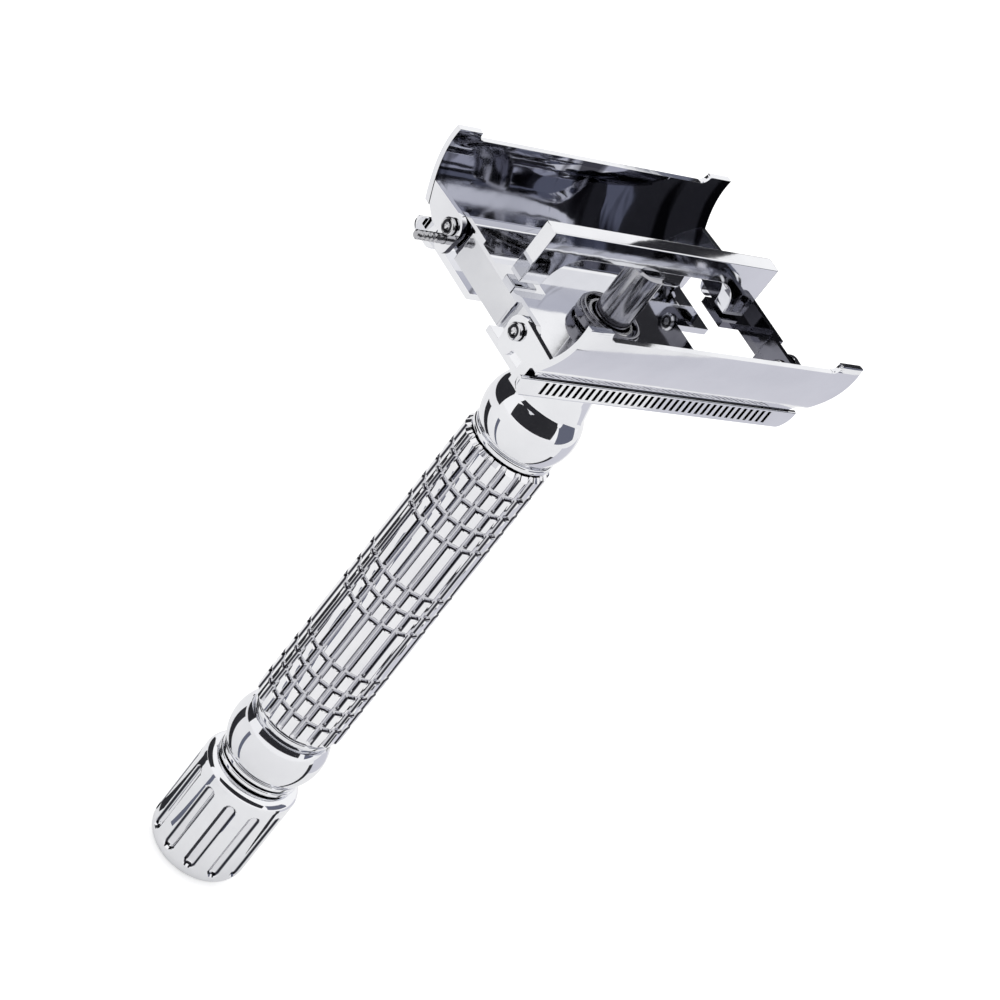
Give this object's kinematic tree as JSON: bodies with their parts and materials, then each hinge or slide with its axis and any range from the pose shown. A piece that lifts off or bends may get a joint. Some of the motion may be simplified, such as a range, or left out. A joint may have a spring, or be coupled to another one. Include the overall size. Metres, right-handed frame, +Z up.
{
  "type": "safety razor",
  "caption": "Twist-to-open double-edge safety razor: reeded handle with two balls, fluted knob, slotted guard and two hinged doors standing open.",
  "frame": {"origin": "middle of the knob's flat end", "axes": "+Z up the handle towards the head, +X along the head (a blade's long way), +Y towards the back door"},
  "size_m": [0.0466, 0.0308, 0.1006],
  "materials": {
    "chrome_handle": "polished chrome plate",
    "chrome_head": "polished chrome plate, mirror bright",
    "chrome_rod": "chrome plate, turning marks left in",
    "steel_pins": "plated steel, peened ends",
    "brass_drive": "turned brass"
  },
  "bodies": {
    "handle": {"grip_sleeve": "chrome_handle", "end_ferrule": "chrome_handle", "neck_ferrule": "chrome_handle", "core_tube": "chrome_rod", "spindle_bush": "brass_drive", "thrust_washer": "chrome_handle", "guard_plate": "chrome_head", "head_nut": "chrome_rod"},
    "knob": {"twist_knob": "chrome_handle", "knob_collar": "chrome_handle", "drive_screw": "brass_drive", "retaining_ring": "steel_pins"},
    "carrier": {"push_rod": "chrome_rod", "center_bar": "chrome_head", "end_bracket_left": "chrome_head", "end_bracket_right": "chrome_head", "bar_rivet_left": "steel_pins", "bar_rivet_right": "steel_pins", "hinge_pin_front_left": "steel_pins", "hinge_pin_front_right": "steel_pins", "hinge_pin_back_left": "steel_pins", "hinge_pin_back_right": "steel_pins"},
    "front_door": {"door_front": "chrome_head"},
    "back_door": {"door_back": "chrome_head", "ear_stub_pin": "steel_pins"}
  },
  "joints": [
    {"name": "knob_turn", "type": "hinge", "parent": "handle", "child": "knob", "pos_m": [0, 0, 0.008], "axis": [0, 0, 1], "range_deg": [-540, 0]},
    {"name": "carrier_lift", "type": "slide", "parent": "handle", "child": "carrier", "axis": [0, 0, 1], "range_m": [-0.0041, 0]},
    {"name": "front_door_swing", "type": "hinge", "parent": "carrier", "child": "front_door", "pos_m": [0, -0.0078, 0.0925], "axis": [1, 0, 0], "range_deg": [-89.6, 0]},
    {"name": "back_door_swing", "type": "hinge", "parent": "carrier", "child": "back_door", "pos_m": [0, 0.0078, 0.0925], "axis": [1, 0, 0], "range_deg": [0, 89.6]}
  ],
  "couplings": [
    {"joint": "carrier_lift", "follows": "knob_turn", "m_per_rad": 0.00043502},
    {"joint": "front_door_swing", "follows": "knob_turn", "ratio": 0.16593},
    {"joint": "back_door_swing", "follows": "knob_turn", "ratio": -0.16593}
  ]
}
